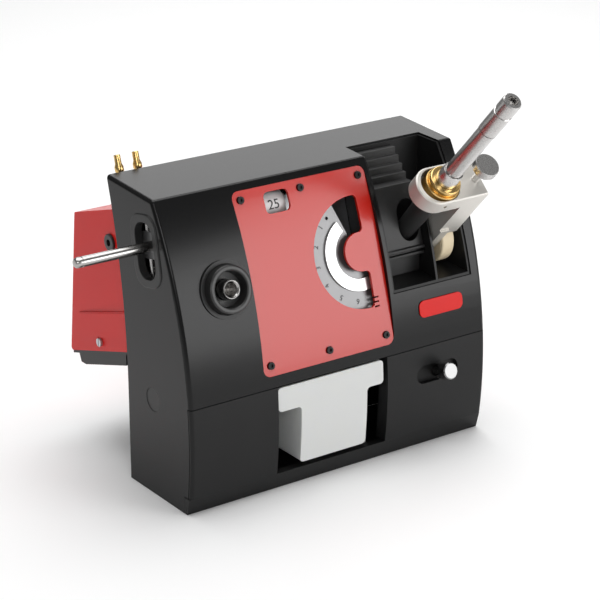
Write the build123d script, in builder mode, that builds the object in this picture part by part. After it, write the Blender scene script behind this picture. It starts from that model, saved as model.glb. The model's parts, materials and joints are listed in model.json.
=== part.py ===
from build123d import *

import os
from math import asin, cos, pi, radians, sin, sqrt, tan

# Contact tip changing station for a welding torch.
# Frame: X to the right seen from the front, Y to the back, Z up, millimetres.
# Origin: middle of the four base mounting holes, on the underside of the base.

# ---------------------------------------------------------------- fits
running_gap = 0.05
body_gap = 0.5
seam_gap = 0.8

# ---------------------------------------------------------------- housing
housing_width = 350.0
wall = 4.0
front_radius = 437.0
front_bulge_y = -60.6
front_bulge_z = 72.0
top_front_z = 294.4
top_slope = 3.7
back_bottom_y = 50.0
back_radius = 714.0
back_straight_z = 100.0
seam_z = 108.0
sill_z = 17.0
base_front_y = -50.6
cover_thickness = 4.0
edge_round = 4.0
rear_cover_thickness = 3.0

half_width = housing_width / 2
inner_half = half_width - wall
front_centre_y = front_bulge_y + front_radius
back_centre_y = back_bottom_y + back_radius


def front_y(z, inset=0.0):
    """Y of the curved front at height z, moved into the housing by inset."""
    return front_centre_y - sqrt((front_radius - inset) ** 2 - (z - front_bulge_z) ** 2)


def back_y(z, inset=0.0):
    """Y of the back at height z: upright at the bottom, leaning away above."""
    if z <= back_straight_z:
        return back_bottom_y - inset
    return back_centre_y - sqrt((back_radius + inset) ** 2 - (z - back_straight_z) ** 2)


def top_z(y, drop=0.0):
    """Height of the sloping top above the depth y."""
    return top_front_z - drop + (y - front_y(top_front_z)) * tan(radians(top_slope))


top_back_y = back_y(top_front_z + 5)
top_back_z = top_z(top_back_y)

# ---------------------------------------------------------------- tilted mechanism
# The dial, spindle, rod and latch all sit square to a frame that leans back.
mech_tilt = 17.2
mech_z = front_bulge_z + front_radius * sin(radians(mech_tilt))
mech_out = (0, -cos(radians(mech_tilt)), sin(radians(mech_tilt)))
mech = Plane(origin=(0, front_y(mech_z), mech_z), x_dir=(1, 0, 0), z_dir=mech_out)
frame_depth = 55.0
frame_thickness = 3.0

# ---------------------------------------------------------------- front panel
panel_left = -half_width + 83.0
recess_left = half_width - 107.0
panel_right = recess_left - 6.5
panel_top_z = top_front_z - 6.4
panel_bottom_z = seam_z + 12.0
panel_thickness = 3.0
panel_bow = 4.6
panel_corner = 8.0
panel_ledge = 6.0
panel_seat_grow = 3.5
panel_seat_thickness = 12.0
screw_boss_radius = 6.0
panel_screw_inset = 9.0
screw_head_radius = 3.5
screw_head_height = 3.0
screw_radius = 2.0
screw_length = 9.0
screw_recess_radius = 4.0
screw_recess_depth = 1.2

# ---------------------------------------------------------------- feed sector and magazine
sector_x = panel_right - 22.5
sector_v = 12.5
sector_radius = 59.0
sector_depth = 12.5
sector_thickness = 3.0
sector_start = 112.0
sector_end = 292.0
sector_ring_start = 120.0
sector_ring_sweep = 165.0
sector_ring_radius = 38.0
sector_ring_width = 12.0
sector_ring_height = 2.2
sector_hub_radius = 14.0
sector_shaft_radius = 6.0
sector_hole_x = -28.0
sector_hole_v = 38.0
sector_hole_radius = 1.6
window_radius = 55.0
window_right = 6.0
boss_radius = 19.0
window_corner = 4.5
count_window_x = -43.5
count_window_v = 77.0
count_window_width = 28.0
count_window_height = 20.7
count_drum_radius = 14.0
count_drum_v = 74.0
count_drum_width = 26.0
count_drum_depth = 29.0
count_shaft_radius = 2.0
count_cheek = 2.0
magazine_x = -42.0
magazine_v = -14.0
magazine_radius = 44.0
magazine_hub_radius = 12.0
magazine_top_depth = 19.0
magazine_disc_thickness = 4.0
tip_count = 10
tip_circle_radius = 34.0
tip_radius = 4.0
tip_length = 24.0
tip_stand = 1.5
tip_bore = 0.8
gear_thickness = 5.0
gear_module = 2.0
magazine_teeth = 30
magazine_pinion_teeth = 10
spindle_teeth = 20
spindle_pinion_teeth = 10

# ---------------------------------------------------------------- spindle port
port_x = -half_width + 54.3
port_v = 8.6
port_radius = 27.6
boot_rim_radius = 22.0
boot_mouth_radius = 17.4
boot_height = 10.0
bushing_radius = 9.1
bushing_bore = 6.7
bushing_length = 26.0
spindle_radius = 8.0
spindle_gear_depth = 40.0
magazine_gear_depth = 43.5
bearing_radius = 15.0
bearing_width = 6.0
motor_radius = 15.0
motor_length = 30.0
motor_shaft_radius = 3.0

# ---------------------------------------------------------------- side slot and rod
rod_radius = 5.0
rod_reach = 75.0
rod_tip_radius = 3.6
slot_y = 11.0
slot_z = 243.6
slot_lean = 10.7
slot_length = 70.0
slot_width = 46.0
slot_corner = 17.0
slot_inner_length = 54.0
slot_inner_width = 30.0
slot_inner_corner = 13.0
slot_depth = 7.0
slot_rim = 1.2
rod_start = 3.4
carriage_half = 13.0
carriage_width = 34.0
carriage_thickness = 8.0
guide_radius = 2.5
guide_offset = 12.0
guide_half = 38.0

# ---------------------------------------------------------------- arm recess
recess_back_y = 27.0
recess_right_front = half_width - 14.5
recess_right_back = half_width - 21.5
recess_floor_z = 170.0
recess_floor_rise = 6.5
liner_wall = 2.5
divider_x = half_width - 55.0
divider_thickness = 2.5
divider_top_z = 246.0

# ---------------------------------------------------------------- neck holder arm
neck_lean = 43.0
neck_x = half_width - 69.0
neck_y = -71.2
neck_z = 277.4
neck_out = (0, -sin(radians(neck_lean)), cos(radians(neck_lean)))
neck = Plane(origin=(neck_x, neck_y, neck_z), x_dir=(1, 0, 0), z_dir=neck_out)
arm_thickness = 17.0
arm_half_depth = 20.6
arm_end_offset = 8.4
arm_right = 46.0
leg_left = 19.0
leg_depth = 26.0
leg_length = 70.0
pin_hole_x = -4.0
pin_hole_drop = 8.5
pin_hole_radius = 2.0
hub_w = -9.9
hub_drop = 96.6
wheel_radius = 24.0
wheel_width = 15.0
axle_radius = 5.0
cheek_width = 11.0
cheek_radius = 13.0
holder_bore_radius = 18.5
holder_bore_shift = 5.5
nut_radius = 16.0
nut_groove_radius = 15.0
nut_flange_radius = 18.1
nut_flange_rise = 1.0
nut_groove_rise = 3.0
nut_rise = 7.4
tube_radius = 8.8
tube_bore = 3.0
tube_step = 92.0
tube_head_radius = 9.5
tube_hex_radius = 5.2
tube_hex_depth = 9.0
tube_top = 141.0
tube_foot_radius = 10.2
tube_foot_height = 12.0
thumb_x = 38.0
thumb_w = -3.0
thumb_radius = 12.7
thumb_rise = 18.0
thumb_height = 8.5
thumb_stem_radius = 4.0
thumb_hole_depth = 15.0

# ---------------------------------------------------------------- tip bin and lower covers
bin_opening_left = -half_width + 97.5
bin_opening_right = half_width - 123.0
bin_flange_gap = 1.5
bin_flange_height = 24.0
bin_body_left_inset = 27.0
bin_body_right_inset = 20.0
bin_depth = 92.0
bin_wall = 2.0
bin_corner_radius = 4.0
rail_front_y = -38.0
rail_back_y = 30.0
latch_x = half_width - 61.0
latch_z = 79.0
latch_slot_length = 51.5
latch_slot_height = 19.0
latch_collar_radius = 6.0
latch_knob_radius = 8.5
latch_knob_length = 16.0
latch_knob_start = 3.0
latch_rest = 2.5
latch_plate_thickness = 3.0
latch_slider_length = 60.0
latch_slider_height = 26.0
latch_rail_length = 96.0
latch_rail_height = 5.0

# ---------------------------------------------------------------- rear box and air fittings
rear_box_half = half_width - 10.0
rear_top_y = 160.0
rear_top_z = 239.0
rear_bottom_y = 177.0
rear_bottom_z = 89.0
rear_wall = 3.0
flap_rise = 1.2
gland_y = 92.0
gland_z = 227.0
gland_radius = 8.5
gland_neck_radius = 6.0
gland_rise = 2.5
gland_bore = 3.5
box_latch_y = 117.0
box_latch_z = 117.0
box_latch_head = 4.2
box_latch_stem = 2.5
fitting_x = -half_width + 22.5
fitting_pitch = 20.0
fitting_radius = 3.2
fitting_waist = 3.4
fitting_bulge = 4.4
fitting_hex = 5.8
fitting_top = 49.5
fitting_bore = 1.5
air_lean = 17.1
air_foot_y = 82.1
manifold_length = 44.0
manifold_width = 14.0
manifold_height = 18.0

# ---------------------------------------------------------------- base
base_plate_thickness = 4.0
base_lip_back = -46.0
mount_spacing_x = 300.0
mount_spacing_y = 60.0
mount_hole_radius = 3.3
plug_radius = 12.0
rear_screw_pitch_x = 100.0
rear_screw_pitch_z = 70.0
badge_x = 121.0
badge_z = 146.0
badge_width = 54.0
badge_height = 17.0
badge_thickness = 1.2
plug_y = 5.0
plug_z = 98.0


# ---------------------------------------------------------------- helpers
def save(part, name):
    """Label one finished piece and write it to its own file."""
    part.label = name
    export_step(part, f"parts/{name}.step")


def mech_point(x, v, depth=0.0):
    """World point at x, v up the tilted frame and depth below its tangent plane."""
    return mech.from_local_coords(Vector(x, v, -depth))


def across(profile, half):
    """Solid of a side profile drawn in Y and Z, from -half to half in X."""
    with BuildPart() as bar:
        with BuildSketch(Plane.YZ.offset(-half)):
            add(profile)
        extrude(amount=2 * half)
    return bar.part


def neck_side(x):
    """Plane square to X whose own axes are the neck's w and h."""
    return Plane(origin=neck.from_local_coords(Vector(x, 0, 0)), x_dir=neck.y_dir, z_dir=(1, 0, 0))


def front_region(inset, low_z, high_z):
    """Everything in front of the curved front moved in by inset, between two heights."""
    far = front_bulge_y - 60
    middle = (low_z + high_z) / 2
    with BuildSketch() as region:
        with BuildLine():
            Line((front_y(low_z, inset), low_z), (far, low_z))
            Line((far, low_z), (far, high_z))
            Line((far, high_z), (front_y(high_z, inset), high_z))
            ThreePointArc(
                (front_y(high_z, inset), high_z),
                (front_y(middle, inset), middle),
                (front_y(low_z, inset), low_z),
            )
        make_face()
    return region.sketch


def front_band(inset, thickness, low_z, high_z):
    """Cross-section of a curved sheet that follows the front between two heights."""
    middle = (low_z + high_z) / 2
    inner = inset + thickness
    with BuildSketch() as band:
        with BuildLine():
            ThreePointArc(
                (front_y(low_z, inset), low_z),
                (front_y(middle, inset), middle),
                (front_y(high_z, inset), high_z),
            )
            Line((front_y(high_z, inset), high_z), (front_y(high_z, inner), high_z))
            ThreePointArc(
                (front_y(high_z, inner), high_z),
                (front_y(middle, inner), middle),
                (front_y(low_z, inner), low_z),
            )
            Line((front_y(low_z, inner), low_z), (front_y(low_z, inset), low_z))
        make_face()
    return band.sketch


def housing_outline(inset, low_z, back_reach):
    """Side view of the housing moved in by inset; back_reach opens it past the back."""
    high_z = top_front_z - inset * 1.2
    middle = (low_z + high_z) / 2
    back_mid = (back_straight_z + top_back_z) / 2
    back_top = Vector(top_back_y + back_reach, top_z(top_back_y + back_reach, inset * 1.2))
    with BuildSketch() as outline:
        with BuildLine():
            ThreePointArc(
                (front_y(low_z, inset), low_z),
                (front_y(middle, inset), middle),
                (front_y(high_z, inset), high_z),
            )
            Line((front_y(high_z, inset), high_z), back_top)
            if back_reach:
                Line(back_top, (back_top.X, low_z))
                Line((back_top.X, low_z), (front_y(low_z, inset), low_z))
            else:
                ThreePointArc(back_top, (back_y(back_mid), back_mid), (back_bottom_y, back_straight_z))
                Line((back_bottom_y, back_straight_z), (back_bottom_y, low_z))
                Line((back_bottom_y, low_z), (front_y(low_z, inset), low_z))
        make_face()
    return outline.sketch


panel_low = mech.to_local_coords(Vector(0, front_y(panel_bottom_z), panel_bottom_z))
panel_high = mech.to_local_coords(Vector(0, front_y(panel_top_z), panel_top_z))
panel_chord = (panel_high - panel_low).length
panel_radius = panel_chord**2 / (8 * panel_bow) + panel_bow / 2
panel_along = (panel_high - panel_low).normalized()
panel_centre = (panel_low + panel_high) * 0.5 + Vector(0, -panel_along.Z, panel_along.Y) * (
    panel_bow - panel_radius
)


def panel_depth(v, lift=0.0):
    """Depth of the panel's face below the tilted plane, v up from its middle."""
    return -panel_centre.Z - sqrt((panel_radius + lift) ** 2 - (v - panel_centre.Y) ** 2)


def panel_curve(lift):
    """Everything in front of the panel's own gentle curve, moved out by lift."""
    ends = [panel_low.Y - 8, (panel_low.Y + panel_high.Y) / 2, panel_high.Y + 8]
    face = [mech_point(0, v, panel_depth(v, lift)) for v in ends]
    far_low = mech_point(0, ends[0], -40)
    far_high = mech_point(0, ends[2], -40)
    with BuildSketch() as region:
        with BuildLine():
            ThreePointArc(*[(point.Y, point.Z) for point in face])
            Line((face[2].Y, face[2].Z), (far_high.Y, far_high.Z))
            Line((far_high.Y, far_high.Z), (far_low.Y, far_low.Z))
            Line((far_low.Y, far_low.Z), (face[0].Y, face[0].Z))
        make_face()
    return region.sketch


def panel_prism(grow):
    """Rounded block through the front with the panel's outline grown by grow."""
    low = panel_low.Y
    high = panel_high.Y
    centre_x = (panel_left + panel_right) / 2
    with BuildPart() as prism:
        with BuildSketch(mech.offset(-frame_depth + frame_thickness)):
            with Locations((centre_x, (low + high) / 2)):
                RectangleRounded(
                    panel_right - panel_left + 2 * grow, high - low + 2 * grow, panel_corner + grow
                )
        extrude(amount=frame_depth + 10)
    return prism.part


def toothed_disc(plane, teeth, thickness, bore, turn=0.0):
    """Simple gear of the common module, with tapering flat-topped teeth and a bore."""
    pitch_radius = gear_module * teeth / 2
    root_radius = pitch_radius - 1.9
    tip_radius_here = pitch_radius + 1.4
    tooth = gear_module * 3.1416 / 2
    with BuildPart() as gear:
        with BuildSketch(plane):
            Circle(root_radius)
            with PolarLocations(0, teeth, start_angle=turn):
                Polygon(
                    (root_radius - 1, -tooth * 0.55),
                    (tip_radius_here, -tooth * 0.22),
                    (tip_radius_here, tooth * 0.22),
                    (root_radius - 1, tooth * 0.55),
                    align=None,
                )
            Circle(bore, mode=Mode.SUBTRACT)
        extrude(amount=thickness)
    return gear.part


os.makedirs("parts", exist_ok=True)

# ================================================================ housing shell
panel_screw_x = [
    panel_left + panel_screw_inset,
    (panel_left + panel_right) / 2,
    panel_right - panel_screw_inset,
]
panel_screw_v = [panel_low.Y + panel_screw_inset + 1.5, panel_high.Y - panel_screw_inset]
panel_screw_spots = [(x, v) for v in panel_screw_v for x in panel_screw_x]



def recess_block(grow):
    """Space of the arm recess, grown by grow on its left, right, back and floor."""
    slope = tan(radians(recess_floor_rise))
    front = -120.0
    with BuildPart() as block:
        with BuildSketch(Plane.XY.offset(recess_floor_z - 60)):
            side = (recess_right_front - recess_right_back) / (recess_back_y + 50)
            Polygon(
                (recess_left - grow, front),
                (recess_right_back + side * (recess_back_y - front) + grow, front),
                (recess_right_back + grow, recess_back_y + grow),
                (recess_left - grow, recess_back_y + grow),
                align=None,
            )
        extrude(amount=260)
        with BuildSketch(Plane.YZ.offset(recess_left - grow - 5)):
            low = recess_floor_z - grow
            Polygon(
                (front - 5, low - 80),
                (recess_back_y + grow + 5, low - 80),
                (recess_back_y + grow + 5, low + (recess_back_y + grow + 55) * slope),
                (front - 5, low + (front + 45) * slope),
                align=None,
            )
        extrude(amount=housing_width, mode=Mode.SUBTRACT)
    return block.part


slot_up = (0, sin(radians(slot_lean)), cos(radians(slot_lean)))
slot_side = Plane(origin=(-half_width, slot_y, slot_z), x_dir=slot_up, z_dir=(-1, 0, 0))
latch_point = (latch_x, front_y(latch_z), latch_z)
latch = Plane(origin=latch_point, x_dir=(1, 0, 0), z_dir=mech_out)
latch_flat = Plane(origin=latch_point, x_dir=(1, 0, 0), z_dir=(0, -1, 0))
port = Plane(origin=mech_point(port_x, port_v), x_dir=(1, 0, 0), z_dir=mech_out)
inner_frame_top = mech.offset(-frame_depth)

with BuildPart() as panel_seat:
    add(panel_prism(panel_seat_grow))
    add(panel_prism(-panel_ledge), mode=Mode.SUBTRACT)
    band = front_band(0, panel_seat_thickness, seam_z + 2, top_front_z - edge_round - 1)
    add(across(band, half_width), mode=Mode.INTERSECT)

with BuildPart() as panel_bosses:
    with BuildSketch(inner_frame_top):
        with Locations(*panel_screw_spots):
            Circle(screw_boss_radius)
    extrude(amount=frame_depth)
    add(across(front_region(1, seam_z - 10, top_front_z + 5), half_width), mode=Mode.SUBTRACT)

with BuildPart() as panel_pocket:
    add(panel_prism(0))
    add(across(panel_curve(-panel_thickness), half_width), mode=Mode.INTERSECT)

with BuildPart() as panel_screw_holes:
    with BuildSketch(inner_frame_top):
        with Locations(*panel_screw_spots):
            Circle(screw_radius)
    extrude(amount=frame_depth + 10)

with BuildPart() as housing_shell:
    add(across(housing_outline(0, 0, 0), half_width))
    rounded = housing_shell.edges().filter_by(lambda e: e.center().Z > 60 and e.center().Y < 45)
    fillet(rounded, edge_round)
    add(across(housing_outline(wall, -1, 60), inner_half), mode=Mode.SUBTRACT)
    lower_front = front_region(cover_thickness + seam_gap, -1, seam_z + seam_gap)
    add(across(lower_front, half_width + 1), mode=Mode.SUBTRACT)
    with BuildSketch(Plane.YZ.offset(-half_width - 1)):
        Polygon(
            (base_front_y - 40, -1),
            (base_lip_back, -1),
            (base_lip_back, sill_z + seam_gap),
            (base_front_y - 40, sill_z + seam_gap),
            align=None,
        )
    extrude(amount=housing_width + 2, mode=Mode.SUBTRACT)
    add(panel_prism(-panel_ledge), mode=Mode.SUBTRACT)
    add(panel_seat.part)
    add(panel_bosses.part)
    add(panel_pocket.part, mode=Mode.SUBTRACT)
    add(panel_screw_holes.part, mode=Mode.SUBTRACT)
    with BuildSketch(mech.offset(-sector_depth - sector_thickness - 2)):
        with Locations((sector_x, sector_v)):
            Circle(sector_radius + 1.5)
    extrude(amount=sector_thickness + 3, mode=Mode.SUBTRACT)
    add(recess_block(liner_wall), mode=Mode.SUBTRACT)
    with BuildSketch(port.offset(-40)):
        Circle(port_radius)
    extrude(amount=60, mode=Mode.SUBTRACT)
    with BuildSketch(slot_side.offset(-wall - 1)):
        RectangleRounded(slot_length, slot_width, slot_corner)
    extrude(amount=wall + 2, mode=Mode.SUBTRACT)
    with BuildSketch(Plane.YZ.offset(-half_width)):
        with Locations((plug_y, plug_z)):
            Circle(plug_radius)
    extrude(amount=wall + 1, mode=Mode.SUBTRACT)
save(housing_shell.part, "housing_shell")

# ================================================================ front panel
frame_left = -half_width + 26.0
frame_right = recess_left - liner_wall - body_gap
frame_low_v = panel_low.Y + 4.0
frame_high_v = panel_high.Y - 1.0

with BuildPart() as front_panel:
    add(panel_prism(-seam_gap / 3) & across(panel_curve(-panel_thickness), half_width))
    add(across(panel_curve(0), half_width), mode=Mode.SUBTRACT)
    with BuildSketch(mech.offset(-25)):
        with BuildSketch(mode=Mode.PRIVATE) as half_moon:
            Circle(window_radius)
            with Locations((window_right + window_radius, 0)):
                Rectangle(2 * window_radius, 4 * window_radius, mode=Mode.SUBTRACT)
            Circle(boss_radius, mode=Mode.SUBTRACT)
            fillet(half_moon.vertices(), window_corner)
        with Locations((sector_x, sector_v)):
            add(half_moon.sketch)
        with Locations((count_window_x, count_window_v)):
            RectangleRounded(count_window_width, count_window_height, 5)
        with Locations(*[(sector_x + window_right + 2, sector_v - 46 - 4.5 * i) for i in range(3)]):
            RectangleRounded(6, 1.6, 0.6)
    extrude(amount=50, mode=Mode.SUBTRACT)
    for x, v in panel_screw_spots:
        with BuildSketch(mech.offset(-panel_depth(v) - screw_recess_depth)):
            with Locations((x, v)):
                Circle(screw_recess_radius)
        extrude(amount=10, mode=Mode.SUBTRACT)
    with BuildSketch(mech.offset(-25)):
        with Locations(*panel_screw_spots):
            Circle(screw_radius)
    extrude(amount=40, mode=Mode.SUBTRACT)
save(front_panel.part, "front_panel")

with BuildPart() as panel_screws:
    for x, v in panel_screw_spots:
        seat_depth = panel_depth(v) + screw_recess_depth
        with BuildSketch(mech.offset(-seat_depth)):
            with Locations((x, v)):
                Circle(screw_head_radius)
        extrude(amount=screw_head_height)
        with BuildSketch(mech.offset(-seat_depth - screw_length)):
            with Locations((x, v)):
                Circle(screw_radius)
        extrude(amount=screw_length)
        with BuildSketch(mech.offset(-seat_depth + screw_head_height)):
            with Locations((x, v)):
                RegularPolygon(1.7, 6)
        extrude(amount=-1.4, mode=Mode.SUBTRACT)
save(panel_screws.part, "panel_screws")

# ================================================================ lower covers, base, back


def lower_cover(left, right, return_x):
    """Curved cover under the seam, with a short return wall along the bin opening."""
    low = sill_z + seam_gap
    with BuildPart() as cover:
        with BuildSketch(Plane.YZ.offset(left)):
            add(front_band(0, cover_thickness, low, seam_z))
        extrude(amount=right - left)
        with BuildSketch(Plane.YZ.offset(return_x)):
            add(front_band(0, 15, low, seam_z))
        extrude(amount=liner_wall)
        outer = left if return_x > left else right
        corner = cover.edges().filter_by(
            lambda e: abs(e.center().X - outer) < 0.01 and abs(e.center().Z - (low + seam_z) / 2) < 5
        )
        fillet(corner.sort_by(Axis.Y)[0], cover_thickness - 0.2)
    return cover.part


with BuildPart() as lower_left_cover:
    add(lower_cover(-half_width, bin_opening_left, bin_opening_left - liner_wall))
save(lower_left_cover.part, "lower_left_cover")

with BuildPart() as lower_right_cover:
    add(lower_cover(bin_opening_right, half_width, bin_opening_right))
    with BuildSketch(latch_flat.offset(-10)):
        SlotOverall(latch_slot_length, latch_slot_height)
    extrude(amount=20, mode=Mode.SUBTRACT)
save(lower_right_cover.part, "lower_right_cover")

with BuildPart() as base_tray:
    with BuildSketch():
        with Locations((0, (back_bottom_y - rear_cover_thickness + base_lip_back) / 2)):
            Rectangle(2 * inner_half - seam_gap, back_bottom_y - rear_cover_thickness - base_lip_back)
        with GridLocations(mount_spacing_x, mount_spacing_y, 2, 2):
            Circle(mount_hole_radius, mode=Mode.SUBTRACT)
    extrude(amount=base_plate_thickness)
    with BuildSketch(Plane.YZ.offset(-half_width)):
        Polygon(
            (front_y(sill_z) + 2, sill_z),
            (base_front_y, 0),
            (base_lip_back, 0),
            (base_lip_back, sill_z),
            align=None,
        )
    extrude(amount=housing_width)
save(base_tray.part, "base_tray")

rear_top = top_back_z - wall * 1.2 - 3
rear_middle = (back_straight_z + rear_top) / 2
with BuildPart() as rear_cover:
    with BuildSketch(Plane.YZ.offset(-inner_half + seam_gap / 2)):
        with BuildLine():
            Line((back_bottom_y, base_plate_thickness), (back_bottom_y, back_straight_z))
            ThreePointArc(
                (back_bottom_y, back_straight_z),
                (back_y(rear_middle), rear_middle),
                (back_y(rear_top), rear_top),
            )
            Line((back_y(rear_top), rear_top), (back_y(rear_top, rear_cover_thickness), rear_top))
            ThreePointArc(
                (back_y(rear_top, rear_cover_thickness), rear_top),
                (back_y(rear_middle, rear_cover_thickness), rear_middle),
                (back_bottom_y - rear_cover_thickness, back_straight_z),
            )
            Line(
                (back_bottom_y - rear_cover_thickness, back_straight_z),
                (back_bottom_y - rear_cover_thickness, base_plate_thickness),
            )
            Line(
                (back_bottom_y - rear_cover_thickness, base_plate_thickness),
                (back_bottom_y, base_plate_thickness),
            )
        make_face()
    extrude(amount=2 * inner_half - seam_gap)
    with BuildSketch(Plane.XZ.offset(-back_bottom_y)):
        with Locations((0, 48)):
            with GridLocations(rear_screw_pitch_x, rear_screw_pitch_z, 4, 2):
                Circle(screw_radius)
    extrude(amount=30, both=True, mode=Mode.SUBTRACT)
save(rear_cover.part, "rear_cover")

with BuildPart() as rear_cover_screws:
    with BuildSketch(Plane.XZ.offset(-back_bottom_y)):
        with Locations((0, 48)):
            with GridLocations(rear_screw_pitch_x, rear_screw_pitch_z, 4, 2):
                Circle(screw_head_radius)
    extrude(amount=-screw_head_height)
    with BuildSketch(Plane.XZ.offset(-back_bottom_y)):
        with Locations((0, 48)):
            with GridLocations(rear_screw_pitch_x, rear_screw_pitch_z, 4, 2):
                Circle(screw_radius)
    extrude(amount=8)
save(rear_cover_screws.part, "rear_cover_screws")

with BuildPart() as side_plug:
    with BuildSketch(Plane.YZ.offset(-half_width + 0.4)):
        with Locations((plug_y, plug_z)):
            Circle(plug_radius)
    extrude(amount=wall)
save(side_plug.part, "side_plug")

badge_angle = asin((badge_z - front_bulge_z) / front_radius)
badge = Plane(
    origin=(badge_x, front_y(badge_z), badge_z),
    x_dir=(1, 0, 0),
    z_dir=(0, -cos(badge_angle), sin(badge_angle)),
)
with BuildPart() as badge_plate:
    with BuildSketch(badge.offset(0.1)):
        RectangleRounded(badge_width, badge_height, 6)
    extrude(amount=badge_thickness)
    fillet(badge_plate.faces().sort_by(Axis.Y)[0].edges(), 0.5)
save(badge_plate.part, "badge_plate")

# ================================================================ inner frame and mechanism
frame_plane = mech.offset(-frame_depth)
spindle_pinion_v = port_v - gear_module * (spindle_teeth + spindle_pinion_teeth) / 2 - running_gap * 2
magazine_pinion_v = (
    magazine_v - gear_module * (magazine_teeth + magazine_pinion_teeth) / 2 - running_gap * 2
)
shaft_spots = [(port_x, port_v), (magazine_x, magazine_v), (sector_x, sector_v)]
motor_spots = [(port_x, spindle_pinion_v), (magazine_x, magazine_pinion_v)]

with BuildPart() as inner_frame:
    with BuildSketch(frame_plane):
        with Locations(((frame_left + frame_right) / 2, (frame_low_v + frame_high_v) / 2)):
            Rectangle(frame_right - frame_left, frame_high_v - frame_low_v)
        with Locations(*shaft_spots):
            Circle(bearing_radius - 4, mode=Mode.SUBTRACT)
        with Locations(*motor_spots):
            Circle(motor_shaft_radius + 1, mode=Mode.SUBTRACT)
        with Locations(*panel_screw_spots):
            Circle(screw_radius, mode=Mode.SUBTRACT)
    extrude(amount=-frame_thickness)
save(inner_frame.part, "inner_frame")

with BuildPart() as frame_screws:
    with BuildSketch(frame_plane.offset(-frame_thickness)):
        with Locations(*panel_screw_spots):
            Circle(screw_head_radius)
    extrude(amount=-screw_head_height)
    with BuildSketch(frame_plane.offset(-frame_thickness)):
        with Locations(*panel_screw_spots):
            Circle(screw_radius)
    extrude(amount=screw_length)
save(frame_screws.part, "frame_screws")


def bearing(x, v, shaft_radius):
    """Ball bearing ring standing on the inner frame."""
    with BuildPart() as ring:
        with BuildSketch(frame_plane):
            with Locations((x, v)):
                Circle(bearing_radius)
                Circle(shaft_radius + running_gap, mode=Mode.SUBTRACT)
        extrude(amount=bearing_width)
    return ring.part


def motor(x, v):
    """Small gear motor on the back of the inner frame."""
    with BuildPart() as body:
        with BuildSketch(frame_plane.offset(-frame_thickness)):
            with Locations((x, v)):
                Circle(motor_radius)
        extrude(amount=-motor_length)
        fillet(body.faces().sort_by(Axis.Y)[-1].edges(), 2)
        with BuildSketch(frame_plane.offset(-frame_thickness)):
            with Locations((x, v)):
                Circle(motor_shaft_radius + 1)
        extrude(amount=-4, mode=Mode.SUBTRACT)
    return body.part


def pinion(x, v, teeth, turn):
    """Motor pinion on its shaft, which ends inside the motor's nose."""
    plane = mech.offset(-spindle_gear_depth if x == port_x else -magazine_gear_depth)
    spot = Plane(origin=plane.from_local_coords(Vector(x, v, 0)), x_dir=(1, 0, 0), z_dir=mech_out)
    with BuildPart() as wheel:
        add(toothed_disc(spot.offset(-gear_thickness), teeth, gear_thickness, motor_shaft_radius, turn))
        gear_depth = spindle_gear_depth if x == port_x else magazine_gear_depth
        reach = frame_depth + frame_thickness + 3 - gear_depth
        with BuildSketch(spot):
            Circle(motor_shaft_radius)
        extrude(amount=-reach)
    return wheel.part


with BuildPart() as spindle_bearing:
    add(bearing(port_x, port_v, spindle_radius))
save(spindle_bearing.part, "spindle_bearing")

with BuildPart() as magazine_bearing:
    add(bearing(magazine_x, magazine_v, sector_shaft_radius))
save(magazine_bearing.part, "magazine_bearing")

with BuildPart() as sector_bearing:
    add(bearing(sector_x, sector_v, sector_shaft_radius))
save(sector_bearing.part, "sector_bearing")

with BuildPart() as spindle_motor:
    add(motor(port_x, spindle_pinion_v))
save(spindle_motor.part, "spindle_motor")

with BuildPart() as magazine_motor:
    add(motor(magazine_x, magazine_pinion_v))
save(magazine_motor.part, "magazine_motor")

with BuildPart() as spindle_pinion:
    add(pinion(port_x, spindle_pinion_v, spindle_pinion_teeth, 0))
save(spindle_pinion.part, "spindle_pinion")

with BuildPart() as magazine_pinion:
    add(pinion(magazine_x, magazine_pinion_v, magazine_pinion_teeth, 18))
save(magazine_pinion.part, "magazine_pinion")

with BuildPart() as spindle_shaft:
    with BuildSketch(port.offset(boot_height - bushing_length)):
        Circle(spindle_radius)
    extrude(amount=-(frame_depth + frame_thickness + 4 + boot_height - bushing_length))
save(spindle_shaft.part, "spindle_shaft")

with BuildPart() as spindle_gear:
    gear_back = port.offset(-spindle_gear_depth - gear_thickness)
    add(toothed_disc(gear_back, spindle_teeth, gear_thickness, spindle_radius))
save(spindle_gear.part, "spindle_gear")

with BuildPart() as spindle_bushing:
    with BuildSketch(port.offset(boot_height)):
        Circle(bushing_radius)
        Circle(bushing_bore, mode=Mode.SUBTRACT)
    extrude(amount=-bushing_length)
    mouth = spindle_bushing.faces().sort_by(Axis(port.origin, port.z_dir))[-1]
    chamfer(mouth.edges(), 0.7)
save(spindle_bushing.part, "spindle_bushing")

with BuildPart() as port_ring:
    with BuildSketch(port.offset(-6)):
        Circle(port_radius)
        Circle(boot_rim_radius + 2, mode=Mode.SUBTRACT)
    extrude(amount=7.5)
save(port_ring.part, "port_ring")

boot_side = Plane(origin=port.origin, x_dir=(1, 0, 0), z_dir=port.y_dir)
with BuildPart() as port_boot:
    with BuildSketch(boot_side):
        Polygon(
            (boot_rim_radius + 2, 5),
            (boot_rim_radius + 2, 0),
            (boot_rim_radius + 0.5, -boot_height + 1),
            (boot_rim_radius - 0.5, -boot_height),
            (boot_mouth_radius, -boot_height),
            (boot_mouth_radius - 1, 1),
            (bushing_radius + body_gap, 2.5),
            (bushing_radius + body_gap, 4.5),
            align=None,
        )
    revolve(axis=Axis(port.origin, port.z_dir))
save(port_boot.part, "port_boot")

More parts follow.
